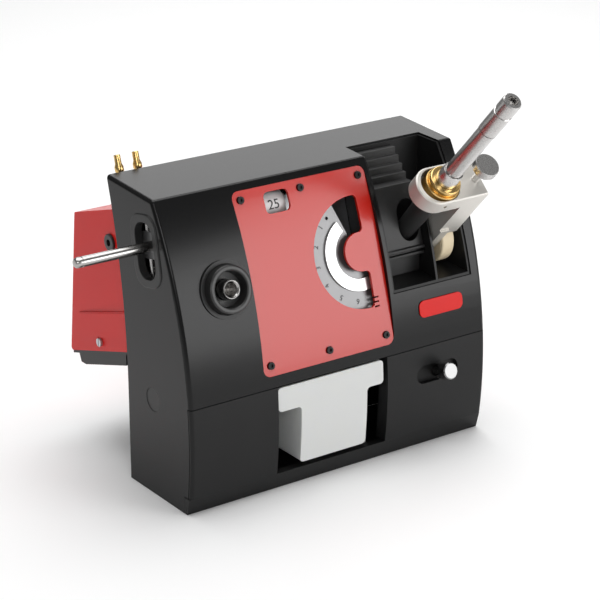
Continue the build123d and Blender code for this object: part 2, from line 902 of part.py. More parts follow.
# ================================================================ feed sector
with BuildPart() as feed_sector:
    with BuildSketch(mech.offset(-sector_depth - sector_thickness)):
        with Locations((sector_x, sector_v)):
            with BuildSketch(mode=Mode.PRIVATE) as wedge:
                with BuildLine():
                    rim = CenterArc((0, 0), sector_radius, sector_start, sector_end - sector_start)
                    Line(rim @ 1, (0, 0))
                    Line((0, 0), rim @ 0)
                make_face()
                Circle(sector_hub_radius)
            add(wedge.sketch)
        with Locations((sector_x + sector_hole_x, sector_v + sector_hole_v)):
            Circle(sector_hole_radius, mode=Mode.SUBTRACT)
        with Locations((sector_x, sector_v)):
            Circle(sector_shaft_radius, mode=Mode.SUBTRACT)
    extrude(amount=sector_thickness)
    with BuildSketch(mech.offset(-sector_depth)):
        with Locations((sector_x, sector_v)):
            with BuildSketch(mode=Mode.PRIVATE) as band:
                with BuildLine():
                    outer = CenterArc((0, 0), sector_ring_radius, sector_ring_start, sector_ring_sweep)
                    inner = CenterArc((0, 0), sector_ring_radius - sector_ring_width, sector_ring_start, sector_ring_sweep)
                    Line(outer @ 0, inner @ 0)
                    Line(outer @ 1, inner @ 1)
                make_face()
            add(band.sketch)
    extrude(amount=sector_ring_height)
save(feed_sector.part, "feed_sector")

shaft_end_depth = frame_depth + frame_thickness + 4
with BuildPart() as sector_shaft:
    with BuildSketch(mech.offset(-sector_depth)):
        with Locations((sector_x, sector_v)):
            Circle(sector_shaft_radius)
    extrude(amount=sector_depth - shaft_end_depth)
save(sector_shaft.part, "sector_shaft")

# ================================================================ magazine and counter
magazine = Plane(
    origin=mech_point(magazine_x, magazine_v, magazine_top_depth), x_dir=(1, 0, 0), z_dir=mech_out
)
with BuildPart() as magazine_disc:
    with BuildSketch(magazine):
        Circle(magazine_radius)
    extrude(amount=-magazine_disc_thickness)
    with BuildSketch(magazine.offset(-magazine_disc_thickness)):
        Circle(magazine_hub_radius)
    extrude(amount=-(magazine_gear_depth - magazine_top_depth - magazine_disc_thickness))
    with BuildSketch(magazine):
        Circle(sector_shaft_radius)
        with PolarLocations(tip_circle_radius, tip_count):
            Circle(tip_radius)
    extrude(amount=-frame_depth, mode=Mode.SUBTRACT)
save(magazine_disc.part, "magazine_disc")

with BuildPart() as contact_tips:
    with BuildSketch(magazine.offset(tip_stand)):
        with PolarLocations(tip_circle_radius, tip_count):
            Circle(tip_radius)
    extrude(amount=-tip_length)
    chamfer(contact_tips.faces().sort_by(Axis(magazine.origin, magazine.z_dir))[-tip_count:].edges(), 1)
    with BuildSketch(magazine.offset(tip_stand)):
        with PolarLocations(tip_circle_radius, tip_count):
            Circle(tip_bore)
    extrude(amount=-tip_length, mode=Mode.SUBTRACT)
save(contact_tips.part, "contact_tips")

with BuildPart() as magazine_gear:
    gear_plane = magazine.offset(magazine_top_depth - magazine_gear_depth - gear_thickness)
    add(toothed_disc(gear_plane, magazine_teeth, gear_thickness, sector_shaft_radius))
save(magazine_gear.part, "magazine_gear")

with BuildPart() as magazine_shaft:
    with BuildSketch(magazine):
        Circle(sector_shaft_radius)
    extrude(amount=magazine_top_depth - shaft_end_depth)
save(magazine_shaft.part, "magazine_shaft")

counter_point = mech_point(count_window_x, count_drum_v, count_drum_depth)
counter = Plane(origin=counter_point, x_dir=mech.y_dir, z_dir=(1, 0, 0))
cheek_inside = count_drum_width / 2 + 2.5
with BuildPart() as count_drum:
    with BuildSketch(counter.offset(-count_drum_width / 2)):
        Circle(count_drum_radius)
    extrude(amount=count_drum_width)
    with BuildSketch(counter.offset(-cheek_inside - count_cheek)):
        Circle(count_shaft_radius)
    extrude(amount=2 * (cheek_inside + count_cheek))
save(count_drum.part, "count_drum")

with BuildPart() as count_bracket:
    with BuildSketch(frame_plane):
        with Locations((count_window_x, count_drum_v)):
            Rectangle(2 * (cheek_inside + count_cheek), 24)
    extrude(amount=3)
    with BuildSketch(frame_plane.offset(3)):
        with Locations(
            (count_window_x - cheek_inside - count_cheek / 2, count_drum_v),
            (count_window_x + cheek_inside + count_cheek / 2, count_drum_v),
        ):
            Rectangle(count_cheek, 16)
    extrude(amount=frame_depth - count_drum_depth + 4)
    with BuildSketch(counter.offset(-cheek_inside - count_cheek - 1)):
        Circle(count_shaft_radius + running_gap)
    extrude(amount=2 * (cheek_inside + count_cheek + 1), mode=Mode.SUBTRACT)
save(count_bracket.part, "count_bracket")

# ================================================================ side slot, rod and its guides
with BuildPart() as side_slot_trim:
    with BuildSketch(slot_side.offset(slot_rim)):
        RectangleRounded(slot_length, slot_width, slot_corner)
        RectangleRounded(slot_inner_length, slot_inner_width, slot_inner_corner, mode=Mode.SUBTRACT)
    extrude(amount=-slot_rim - slot_depth)
    mouth = side_slot_trim.faces().sort_by(Axis.X)[0]
    chamfer(mouth.outer_wire().edges(), 0.8)
save(side_slot_trim.part, "side_slot_trim")

carriage_x = -half_width + slot_depth + body_gap
rod_spot = slot_side.offset(-slot_depth - body_gap)
guide_middle = rod_spot.offset(-carriage_thickness / 2).origin
guide_plane = Plane(origin=guide_middle, x_dir=(1, 0, 0), z_dir=slot_up)
with BuildPart() as side_rod:
    with BuildSketch(rod_spot.offset(-carriage_thickness)):
        with Locations((rod_start, 0)):
            Circle(rod_radius)
    extrude(amount=half_width + rod_reach + carriage_x + carriage_thickness)
    tip_face = side_rod.faces().sort_by(Axis.X)[0]
    fillet(tip_face.edges(), rod_radius - rod_tip_radius + 1)
    with BuildSketch(slot_side.offset(rod_reach - 8)):
        with Locations((rod_start, 0)):
            Circle(rod_radius + 1)
            Circle(rod_radius - 0.35, mode=Mode.SUBTRACT)
    extrude(amount=1.2, mode=Mode.SUBTRACT)
save(side_rod.part, "side_rod")

with BuildPart() as rod_carriage:
    with BuildSketch(rod_spot):
        with Locations((rod_start, 0)):
            RectangleRounded(2 * carriage_half, carriage_width, 3)
            Circle(rod_radius, mode=Mode.SUBTRACT)
    extrude(amount=-carriage_thickness)
    with BuildSketch(guide_plane):
        with Locations((0, -guide_offset), (0, guide_offset)):
            Circle(guide_radius + running_gap)
    extrude(amount=2 * slot_length, both=True, mode=Mode.SUBTRACT)
save(rod_carriage.part, "rod_carriage")

with BuildPart() as rod_guides:
    with BuildSketch(guide_plane.offset(-guide_half)):
        with Locations((0, -guide_offset), (0, guide_offset)):
            Circle(guide_radius)
    extrude(amount=2 * guide_half)
    with BuildSketch(slot_side.offset(-wall)):
        with Locations((-guide_half, 0), (guide_half, 0)):
            Rectangle(4, carriage_width)
    extrude(amount=-(slot_depth + carriage_thickness + 2 - wall))
save(rod_guides.part, "rod_guides")

# ================================================================ arm recess
hub_point = neck.from_local_coords(Vector(0, hub_w, -hub_drop))
axle_right = half_width - 17.0
with BuildPart() as recess_liner:
    add(recess_block(liner_wall))
    add(recess_block(0), mode=Mode.SUBTRACT)
    add(across(housing_outline(1.5, seam_z / 2, 0), half_width), mode=Mode.INTERSECT)
    with BuildSketch(Plane.YZ.offset(axle_right - 10)):
        with Locations((hub_point.Y, hub_point.Z)):
            Circle(axle_radius)
    extrude(amount=10, mode=Mode.SUBTRACT)
save(recess_liner.part, "recess_liner")

with BuildPart() as compartment_divider:
    add(recess_block(0))
    divider_side = across(housing_outline(1.5, seam_z / 2, 0), half_width)
    add(divider_side, mode=Mode.INTERSECT)
    with BuildSketch(Plane.YZ.offset(divider_x)):
        Polygon((-70, seam_z), (60, seam_z), (60, divider_top_z + 8), (-70, divider_top_z), align=None)
    extrude(amount=divider_thickness, mode=Mode.INTERSECT)
    with BuildSketch(Plane.YZ.offset(divider_x)):
        with Locations((hub_point.Y, hub_point.Z)):
            Circle(axle_radius)
    extrude(amount=divider_thickness, mode=Mode.SUBTRACT)
save(compartment_divider.part, "compartment_divider")

with BuildPart() as hub_axle:
    with BuildSketch(Plane.YZ.offset(divider_x)):
        with Locations((hub_point.Y, hub_point.Z)):
            Circle(axle_radius)
    extrude(amount=axle_right - divider_x)
save(hub_axle.part, "hub_axle")


def floor_z(y):
    """Height of the recess floor at depth y."""
    return recess_floor_z + (y + 50) * tan(radians(recess_floor_rise))


nozzle_seat = 104.0
with BuildPart() as nozzle_block:
    with BuildSketch(Plane.YZ.offset(recess_left + seam_gap / 2)):
        Polygon(
            (-8.6, 262),
            (-27, 202),
            (-30, 202),
            (-30, 199),
            (-25, 199),
            (-25, 196),
            (-29, 196),
            (-29, 193),
            (-22, 193),
            (-22, floor_z(-22)),
            (recess_back_y, floor_z(recess_back_y)),
            (recess_back_y, 290),
            (20, 290),
            (20, 283),
            (14, 283),
            (14, 276),
            (8, 276),
            (8, 269),
            (2, 269),
            (2, 262),
            align=None,
        )
    extrude(amount=divider_x - recess_left - seam_gap)
    with BuildSketch(neck.offset(-nozzle_seat)):
        with Locations((0, 4)):
            SlotOverall(36, 24, rotation=90)
    extrude(amount=nozzle_seat, mode=Mode.SUBTRACT)
save(nozzle_block.part, "nozzle_block")

with BuildPart() as torch_nozzle:
    with BuildSketch(neck.offset(-nozzle_seat)):
        Circle(9)
    with BuildSketch(neck.offset(-arm_thickness - 1)):
        Circle(12)
    loft()
    with BuildSketch(neck.offset(-nozzle_seat)):
        Circle(6)
    with BuildSketch(neck.offset(-arm_thickness - 1)):
        Circle(9)
    loft(mode=Mode.SUBTRACT)
save(torch_nozzle.part, "torch_nozzle")

wheel_x = divider_x + 16.5
with BuildPart() as guide_wheel:
    with BuildSketch(Plane.YZ.offset(wheel_x)):
        with Locations((hub_point.Y, hub_point.Z)):
            Circle(wheel_radius)
    extrude(amount=wheel_width)
    chamfer(guide_wheel.edges(), 1)
    with BuildSketch(Plane.YZ.offset(wheel_x)):
        with Locations((hub_point.Y, hub_point.Z)):
            Circle(axle_radius + running_gap)
    extrude(amount=wheel_width, mode=Mode.SUBTRACT)
save(guide_wheel.part, "guide_wheel")

# ================================================================ neck holder arm
bore_floor = 14.0
with BuildPart() as neck_arm:
    with BuildSketch(neck):
        with Locations((-arm_end_offset, 0)):
            Circle(arm_half_depth)
        with Locations(((arm_right - arm_end_offset) / 2, 0)):
            Rectangle(arm_right + arm_end_offset, 2 * arm_half_depth)
    extrude(amount=-arm_thickness)
    with BuildSketch(neck):
        with Locations(((leg_left + arm_right) / 2, leg_depth / 2 - arm_half_depth)):
            Rectangle(arm_right - leg_left, leg_depth)
    extrude(amount=-leg_length)
    with BuildSketch(neck_side(leg_left)):
        with Locations((hub_w, -hub_drop)):
            Circle(cheek_radius)
        with Locations((hub_w, -(hub_drop + leg_length) / 2 + 5)):
            Rectangle(2 * cheek_radius, hub_drop - leg_length + 10)
    extrude(amount=cheek_width)
    chamfer(neck_arm.faces().sort_by(Axis(neck.origin, neck.z_dir))[-1].edges(), 1.2)
    with BuildSketch(neck):
        with Locations((-holder_bore_shift / 2, 0)):
            SlotCenterToCenter(holder_bore_shift, 2 * holder_bore_radius)
    extrude(amount=-bore_floor, mode=Mode.SUBTRACT)
    with BuildSketch(neck):
        Circle(tube_radius + 2)
    extrude(amount=-arm_thickness, mode=Mode.SUBTRACT)
    with BuildSketch(neck):
        with Locations((thumb_x, thumb_w)):
            Circle(thumb_stem_radius + running_gap)
    extrude(amount=-thumb_hole_depth, mode=Mode.SUBTRACT)
    with BuildSketch(neck_side(leg_left)):
        with Locations((hub_w, -hub_drop)):
            Circle(axle_radius + running_gap)
    extrude(amount=cheek_width, mode=Mode.SUBTRACT)
    with BuildSketch(Plane(neck.from_local_coords(Vector(0, -arm_half_depth, 0)), (1, 0, 0), -neck.y_dir)):
        with Locations((pin_hole_x, -pin_hole_drop)):
            Circle(pin_hole_radius)
    extrude(amount=-4, mode=Mode.SUBTRACT)
save(neck_arm.part, "neck_arm")

with BuildPart() as collar_nut:
    with BuildSketch(neck.offset(-bore_floor + body_gap)):
        Circle(nut_flange_radius)
    extrude(amount=bore_floor - body_gap + nut_flange_rise)
    with BuildSketch(neck.offset(nut_flange_rise)):
        Circle(nut_groove_radius)
    extrude(amount=nut_groove_rise - nut_flange_rise)
    with BuildSketch(neck.offset(nut_groove_rise)):
        Circle(nut_radius)
    extrude(amount=nut_rise - nut_groove_rise)
    chamfer(collar_nut.faces().sort_by(Axis(neck.origin, neck.z_dir))[-1].edges(), 0.8)
    with BuildSketch(neck.offset(-bore_floor)):
        Circle(tube_radius + running_gap)
    extrude(amount=bore_floor + nut_rise + 1, mode=Mode.SUBTRACT)
save(collar_nut.part, "collar_nut")

foot_start = nut_rise + body_gap
with BuildPart() as neck_tube:
    with BuildSketch(neck.offset(-bore_floor)):
        Circle(tube_radius)
    extrude(amount=bore_floor + tube_step)
    with BuildSketch(neck.offset(foot_start)):
        Circle(tube_foot_radius)
    extrude(amount=tube_foot_height)
    foot_area = pi * (tube_foot_radius**2 - tube_radius**2)
    foot_face = neck_tube.faces().filter_by(lambda f: abs(f.area - foot_area) < 3)
    chamfer(foot_face.edges(), 0.5)
    with BuildSketch(neck.offset(tube_step)):
        Circle(tube_radius - 0.5)
    extrude(amount=1)
    with BuildSketch(neck.offset(tube_step + 1)):
        Circle(tube_head_radius)
    extrude(amount=tube_top - tube_step - 1)
    chamfer(neck_tube.faces().sort_by(Axis(neck.origin, neck.z_dir))[-1].edges(), 1.5)
    with BuildSketch(neck.offset(tube_top)):
        RegularPolygon(tube_hex_radius, 6)
    extrude(amount=-tube_hex_depth, mode=Mode.SUBTRACT)
    with BuildSketch(neck.offset(-bore_floor)):
        Circle(tube_bore)
    extrude(amount=bore_floor + tube_top, mode=Mode.SUBTRACT)
save(neck_tube.part, "neck_tube")

with BuildPart() as thumb_screw:
    with BuildSketch(neck.offset(body_gap * 2 - thumb_hole_depth)):
        with Locations((thumb_x, thumb_w)):
            Circle(thumb_stem_radius)
    extrude(amount=thumb_hole_depth - body_gap * 2 + thumb_rise)
    with BuildSketch(neck.offset(thumb_rise)):
        with Locations((thumb_x, thumb_w)):
            Circle(thumb_radius)
    extrude(amount=thumb_height)
    chamfer(thumb_screw.faces().sort_by(Axis(neck.origin, neck.z_dir))[-1].edges(), 1)
save(thumb_screw.part, "thumb_screw")

# ================================================================ tip bin and its rails
bin_left = bin_opening_left + body_gap
bin_right = bin_opening_right - 5.0
bin_low_left = bin_opening_left + bin_body_left_inset
bin_low_right = bin_opening_right - bin_body_right_inset - 4.6
bin_top_z = seam_z - bin_flange_gap
bin_step_z = bin_top_z - bin_flange_height
bin_floor_z = sill_z + 6
bin_back_y = front_bulge_y + bin_depth


def bin_body(shrink, open_top):
    """Stepped tub, narrow below and wide above, shrunk on every side for its inside."""
    top = bin_top_z + open_top
    with BuildPart() as tub:
        with BuildSketch(Plane.XZ.offset(-bin_back_y + shrink)):
            Polygon(
                (bin_low_left + shrink, bin_floor_z + shrink),
                (bin_low_right - shrink, bin_floor_z + shrink),
                (bin_low_right - shrink, bin_step_z + shrink),
                (bin_right - shrink, bin_step_z + shrink),
                (bin_right - shrink, top),
                (bin_left + shrink, top),
                (bin_left + shrink, bin_step_z + shrink),
                (bin_low_left + shrink, bin_step_z + shrink),
                align=None,
            )
        extrude(amount=bin_depth + 10)
        add(across(front_region(0.6 + shrink, 0, seam_z + 10), half_width), mode=Mode.SUBTRACT)
    return tub.part


with BuildPart() as tip_bin:
    add(bin_body(0, 0))
    upright = tip_bin.edges().filter_by(Axis.Y)
    fillet(upright, bin_corner_radius)
    add(bin_body(bin_wall, 5), mode=Mode.SUBTRACT)
save(tip_bin.part, "tip_bin")


def bin_rail(leg_x, reach):
    """Angle rail standing on the base and carrying one shoulder of the bin."""
    top = bin_step_z - body_gap
    with BuildPart() as rail:
        with BuildSketch(Plane.XZ.offset(-rail_back_y)):
            Polygon(
                (leg_x, base_plate_thickness),
                (leg_x + 2 * reach / abs(reach), base_plate_thickness),
                (leg_x + 2 * reach / abs(reach), top - 3),
                (leg_x + reach, top - 3),
                (leg_x + reach, top),
                (leg_x, top),
                align=None,
            )
        extrude(amount=rail_back_y - rail_front_y)
    return rail.part


with BuildPart() as bin_rails:
    add(bin_rail(bin_left + 6, bin_low_left - bin_left - 10.2))
    add(bin_rail(bin_right - 4, bin_low_right - bin_right + 8.2))
save(bin_rails.part, "bin_rails")

# ================================================================ latch
slider_back = latch_flat.offset(-cover_thickness - 1.2)
with BuildPart() as latch_slider:
    with BuildSketch(slider_back):
        with Locations((latch_rest, 0)):
            RectangleRounded(latch_slider_length, latch_slider_height, 3)
    extrude(amount=-latch_plate_thickness)
save(latch_slider.part, "latch_slider")

with BuildPart() as latch_knob:
    with BuildSketch(latch.offset(-cover_thickness - 4)):
        with Locations((latch_rest, 0)):
            Circle(latch_collar_radius)
    extrude(amount=cover_thickness + 4 + latch_knob_start)
    with BuildSketch(slider_back):
        Rectangle(housing_width, 60)
    extrude(amount=-20, mode=Mode.SUBTRACT)
    with BuildSketch(latch.offset(latch_knob_start)):
        with Locations((latch_rest, 0)):
            Circle(latch_knob_radius)
    extrude(amount=latch_knob_length)
    knob_ends = latch_knob.faces().sort_by(Axis(latch.origin, latch.z_dir))
    chamfer(knob_ends[-1].edges(), 1.2)
save(latch_knob.part, "latch_knob")

with BuildPart() as latch_rail:
    rail_y = latch_slider_height / 2 + body_gap + latch_rail_height / 2
    with BuildSketch(latch_flat.offset(-cover_thickness - 0.9)):
        with Locations((0, rail_y), (0, -rail_y)):
            Rectangle(latch_rail_length, latch_rail_height)
    extrude(amount=-latch_plate_thickness - 1)
    with BuildSketch(slider_back.offset(-latch_plate_thickness - body_gap)):
        Rectangle(latch_rail_length, 2 * rail_y + latch_rail_height)
    extrude(amount=-2)
save(latch_rail.part, "latch_rail")

# ================================================================ rear box
box_slope = 0.3075
box_front_y = 40.0


def box_section(inset):
    """Side view of the rear box, moved in by inset, reaching into the housing."""
    lean = (rear_bottom_y - rear_top_y) / (rear_top_z - rear_bottom_z)
    top = rear_top_z - inset * 1.05
    low = rear_bottom_z + inset * 1.05
    rear_at_top = rear_top_y - inset + lean * inset
    rear_at_low = rear_bottom_y - inset - lean * inset
    with BuildSketch() as section:
        Polygon(
            (rear_at_top, top + box_slope * inset),
            (rear_at_low, low + box_slope * inset),
            (box_front_y, low + box_slope * (rear_bottom_y - box_front_y)),
            (box_front_y, top + box_slope * (rear_top_y - box_front_y)),
            align=None,
        )
    return section.sketch


housing_solid = across(housing_outline(0, 0, 0), half_width)
with BuildPart() as rear_box:
    add(across(box_section(0), rear_box_half))
    long_edges = rear_box.edges().filter_by(Axis.X).filter_by(lambda e: e.center().Y > 100)
    fillet(long_edges, 3)
    add(across(box_section(rear_wall), rear_box_half - rear_wall), mode=Mode.SUBTRACT)
    add(housing_solid, mode=Mode.SUBTRACT)
    add(rear_cover.part, mode=Mode.SUBTRACT)
    for side in (-1, 1):
        with BuildSketch(Plane.YZ.offset(side * rear_box_half)):
            Polygon((158, 136), (62, 165.5), (62, 177), (74, 172), align=None)
        extrude(amount=-side * 2, mode=Mode.SUBTRACT)
    with BuildSketch(Plane.YZ.offset(-rear_box_half)):
        with Locations((gland_y, gland_z)):
            Circle(gland_neck_radius)
        with Locations((box_latch_y, box_latch_z)):
            Circle(box_latch_stem + running_gap)
    extrude(amount=rear_wall, mode=Mode.SUBTRACT)
save(rear_box.part, "rear_box")

with BuildPart() as box_side_flaps:
    for side in (-1, 1):
        with BuildSketch(Plane.YZ.offset(side * rear_box_half)):
            with BuildSketch(mode=Mode.PRIVATE) as flap:
                Polygon((157, 135), (155, 110), (40, 145.4), (40, 171), align=None)
                fillet(flap.vertices().sort_by(Axis.X)[2:3], 7)
            add(flap.sketch)
            with Locations((box_latch_y, box_latch_z)):
                Circle(box_latch_head + 1.5, mode=Mode.SUBTRACT)
        extrude(amount=side * flap_rise)
    add(housing_solid, mode=Mode.SUBTRACT)
save(box_side_flaps.part, "box_side_flaps")

with BuildPart() as box_strip:
    with BuildSketch(Plane.YZ.offset(-rear_box_half + 2)):
        Polygon(
            (rear_bottom_y - 1, rear_bottom_z - 0.1),
            (60, rear_bottom_z + box_slope * (rear_bottom_y - 61) - 0.1),
            (60, rear_bottom_z + box_slope * (rear_bottom_y - 61) - 3),
            (rear_bottom_y - 1, rear_bottom_z - 3),
            align=None,
        )
    extrude(amount=2 * rear_box_half - 4)
save(box_strip.part, "box_strip")

with BuildPart() as box_plate:
    with BuildSketch(Plane.YZ.offset(-rear_box_half + 6)):
        Polygon((172, 87), (168, 78), (159, 78), (80, 103), (80, 115), align=None)
        add(box_section(-3.2), mode=Mode.SUBTRACT)
    extrude(amount=2 * rear_box_half - 12)
    with BuildSketch(Plane.YZ.offset(-rear_box_half + 8)):
        Polygon((164, 87), (162, 80), (160, 80), (78, 105.4), (78, 118), align=None)
    extrude(amount=2 * rear_box_half - 16, mode=Mode.SUBTRACT)
save(box_plate.part, "box_plate")

gland = Plane(origin=(-rear_box_half, gland_y, gland_z), x_dir=(0, 1, 0), z_dir=(-1, 0, 0))
with BuildPart() as rear_gland:
    with BuildSketch(gland):
        Circle(gland_radius)
    extrude(amount=gland_rise)
    fillet(rear_gland.faces().sort_by(Axis.X)[0].edges(), 1)
    with BuildSketch(gland):
        Circle(gland_neck_radius)
    extrude(amount=-rear_wall - 2)
    with BuildSketch(gland.offset(gland_rise)):
        Circle(gland_bore)
    extrude(amount=-gland_rise - rear_wall - 2, mode=Mode.SUBTRACT)
save(rear_gland.part, "rear_gland")

box_latch_spot = Plane(origin=(-rear_box_half, box_latch_y, box_latch_z), x_dir=(0, 1, 0), z_dir=(-1, 0, 0))
with BuildPart() as box_latch:
    with BuildSketch(box_latch_spot.offset(body_gap)):
        Circle(box_latch_head)
    extrude(amount=2.5)
    with BuildSketch(box_latch_spot.offset(body_gap + 2.5)):
        Rectangle(1.2, 2 * box_latch_head)
    extrude(amount=-1.2, mode=Mode.SUBTRACT)
    with BuildSketch(box_latch_spot.offset(body_gap)):
        Circle(box_latch_stem)
    extrude(amount=-body_gap - rear_wall - 3)
    with BuildSketch(box_latch_spot.offset(-rear_wall - 1)):
        with Locations((4, 0)):
            RectangleRounded(14, 5, 1)
    extrude(amount=-2)
save(box_latch.part, "box_latch")

# ================================================================ compressed air
air_slope_out = (0, sin(radians(air_lean)), cos(radians(air_lean)))
air_foot_z = rear_top_z + box_slope * (rear_top_y - air_foot_y)
air_origin = (fitting_x + fitting_pitch / 2, air_foot_y, air_foot_z + 0.1)
air = Plane(origin=air_origin, x_dir=(1, 0, 0), z_dir=air_slope_out)
with BuildPart() as air_manifold:
    with BuildSketch(air):
        RectangleRounded(manifold_length, manifold_width, 2)
    extrude(amount=manifold_height)
    with BuildSketch(air.offset(manifold_height)):
        with Locations((-fitting_pitch / 2, 0), (fitting_pitch / 2, 0)):
            Circle(fitting_bore)
    extrude(amount=-manifold_height * 0.7, mode=Mode.SUBTRACT)
save(air_manifold.part, "air_manifold")

with BuildPart() as air_fittings:
    for start, reach, radius in (
        (manifold_height, 5, fitting_hex),
        (manifold_height + 5, 11, fitting_waist),
        (manifold_height + 16, 6, fitting_bulge),
        (manifold_height + 22, fitting_top - manifold_height - 22, fitting_radius),
    ):
        with BuildSketch(air.offset(start)):
            with Locations((-fitting_pitch / 2, 0), (fitting_pitch / 2, 0)):
                if radius == fitting_hex:
                    RegularPolygon(radius, 6)
                else:
                    Circle(radius)
        extrude(amount=reach)
    with BuildSketch(air.offset(fitting_top)):
        with Locations((-fitting_pitch / 2, 0), (fitting_pitch / 2, 0)):
            Circle(fitting_bore)
    extrude(amount=manifold_height - fitting_top, mode=Mode.SUBTRACT)
save(air_fittings.part, "air_fittings")
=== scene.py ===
# %% [markdown]
# This station changes the worn contact tip of a robot's welding torch. Its sizes come from a CAD model,
# which is loaded first as a frame. Pieces whose shape is already right keep their CAD mesh and get a
# finish. Pieces that need rounded edges, turned profiles or knurling are modelled again on top of it.

# %% Load the frame
import json
import math

import bpy
from mathutils import Matrix, Vector


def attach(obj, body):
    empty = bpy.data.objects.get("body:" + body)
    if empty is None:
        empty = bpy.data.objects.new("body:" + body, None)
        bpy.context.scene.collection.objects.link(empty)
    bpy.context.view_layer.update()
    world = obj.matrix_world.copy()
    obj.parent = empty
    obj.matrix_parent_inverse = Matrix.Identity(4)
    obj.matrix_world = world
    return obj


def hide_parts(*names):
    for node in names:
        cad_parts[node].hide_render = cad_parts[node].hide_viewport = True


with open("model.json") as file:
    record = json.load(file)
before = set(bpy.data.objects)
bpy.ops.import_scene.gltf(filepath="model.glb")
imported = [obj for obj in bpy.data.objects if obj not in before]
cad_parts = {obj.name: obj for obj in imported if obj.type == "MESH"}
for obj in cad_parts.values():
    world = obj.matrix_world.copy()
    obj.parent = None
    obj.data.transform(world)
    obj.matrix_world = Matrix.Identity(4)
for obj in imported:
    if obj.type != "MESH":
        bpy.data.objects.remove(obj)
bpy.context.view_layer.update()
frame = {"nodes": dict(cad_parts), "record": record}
nodes = frame["nodes"]
body_of_node = {
    node: body for body, members in frame["record"]["behaviour"]["bodies"].items() for node in members
}
slot_of_node = {part["node"]: part["material_slot"] for part in frame["record"]["subparts"]}
MM = 0.001


# %% [markdown]
# Blender's operators act on whatever is selected, and loading leaves everything selected. A small helper
# clears the selection, and another picks one object so that edit mode opens on it alone.

# %% Selection helpers
def pick(piece):
    """Select one object alone and make it active."""
    bpy.ops.object.select_all(action="DESELECT")
    piece.select_set(True)
    bpy.context.view_layer.objects.active = piece


def frame_matrix(origin, across, outwards):
    """Placement whose X runs along across and whose Z runs along outwards, origin in mm."""
    z_axis = Vector(outwards).normalized()
    x_axis = Vector(across).normalized()
    y_axis = z_axis.cross(x_axis)
    rows = Matrix((x_axis, y_axis, z_axis)).transposed().to_4x4()
    return Matrix.Translation(Vector(origin) * MM) @ rows


LEAN_BACK = math.radians(17.2)
DIAL_OUT = Vector((0, -math.cos(LEAN_BACK), math.sin(LEAN_BACK)))
DIAL_PLACE = frame_matrix((0, -41.056, 201.222), (1, 0, 0), DIAL_OUT)


def on_dial(x, height, depth):
    """Placement on the dial's leaning face, depth in mm into the cabinet."""
    return DIAL_PLACE @ Matrix.Translation((x * MM, height * MM, -depth * MM))


NECK_LEAN = math.radians(43)
NECK_OUT = Vector((0, -math.sin(NECK_LEAN), math.cos(NECK_LEAN)))
NECK_PLACE = frame_matrix((106, -71.2, 277.4), (1, 0, 0), NECK_OUT)
print("dial leans back", round(math.degrees(LEAN_BACK), 1), "degrees")

# %% [markdown]
# Paint, moulded plastic and metal differ less in colour than in how their surface breaks up light. Each
# finish mixes two close colours with slow noise, varies its roughness with finer noise, and adds a faint
# bump. The noise reads object coordinates, so it stays on the piece when the piece moves.


# %% Finish helper
def finish(name, colour, other, grain=60.0, rough=(0.3, 0.4), bump=0.05, stretch=(1, 1, 1), **sockets):
    """Procedural material: two mixed colours, varied roughness and a fine bump."""
    material = bpy.data.materials.new(name)
    material.use_nodes = True
    tree = material.node_tree
    shader = tree.nodes["Principled BSDF"]
    for socket, value in sockets.items():
        shader.inputs[socket.replace("_", " ")].default_value = value
    place = tree.nodes.new("ShaderNodeTexCoord")
    mapping = tree.nodes.new("ShaderNodeMapping")
    mapping.inputs["Scale"].default_value = stretch
    tree.links.new(place.outputs["Object"], mapping.inputs["Vector"])
    slow = tree.nodes.new("ShaderNodeTexNoise")
    slow.inputs["Scale"].default_value = grain * 0.25
    slow.inputs["Detail"].default_value = 3
    fine = tree.nodes.new("ShaderNodeTexNoise")
    fine.inputs["Scale"].default_value = grain * 12
    fine.inputs["Detail"].default_value = 2
    for noise in (slow, fine):
        tree.links.new(mapping.outputs["Vector"], noise.inputs["Vector"])
    mix = tree.nodes.new("ShaderNodeMix")
    mix.data_type = "RGBA"
    mix.inputs["A"].default_value = (*colour, 1)
    mix.inputs["B"].default_value = (*other, 1)
    tree.links.new(slow.outputs["Fac"], mix.inputs["Factor"])
    tree.links.new(mix.outputs["Result"], shader.inputs["Base Color"])
    spread = tree.nodes.new("ShaderNodeMapRange")
    spread.inputs["To Min"].default_value = rough[0]
    spread.inputs["To Max"].default_value = rough[1]
    tree.links.new(fine.outputs["Fac"], spread.inputs["Value"])
    tree.links.new(spread.outputs["Result"], shader.inputs["Roughness"])
    relief = tree.nodes.new("ShaderNodeBump")
    relief.inputs["Strength"].default_value = bump
    relief.inputs["Distance"].default_value = 0.0002
    tree.links.new(fine.outputs["Fac"], relief.inputs["Height"])
    tree.links.new(relief.outputs["Normal"], shader.inputs["Normal"])
    return material


# %% [markdown]
# The cabinet is powder coated: a gloss black upper shell and satin lower covers. The panel and the rear
# box are red paint. The coat is thin, so its bump is almost nothing and its highlights stay tight.

# %% Paints
gloss_black = finish(
    "gloss_black",
    (0.004, 0.004, 0.0042),
    (0.006, 0.006, 0.0062),
    40,
    (0.2, 0.26),
    0.02,
    Specular_IOR_Level=0.25,
)
satin_black = finish(
    "satin_black",
    (0.006, 0.006, 0.0062),
    (0.009, 0.009, 0.0092),
    60,
    (0.34, 0.42),
    0.1,
    Specular_IOR_Level=0.25,
)
red_paint = finish(
    "red_paint",
    (0.64, 0.008, 0.006),
    (0.68, 0.01, 0.008),
    40,
    (0.2, 0.26),
    0.02,
    Specular_IOR_Level=0.2,
)
panel_red = finish("panel_red", (0.46, 0.012, 0.006), (0.49, 0.015, 0.008), 30, (0.2, 0.22), 0.0)
print("paints", [paint.name for paint in (gloss_black, satin_black, red_paint, panel_red)])

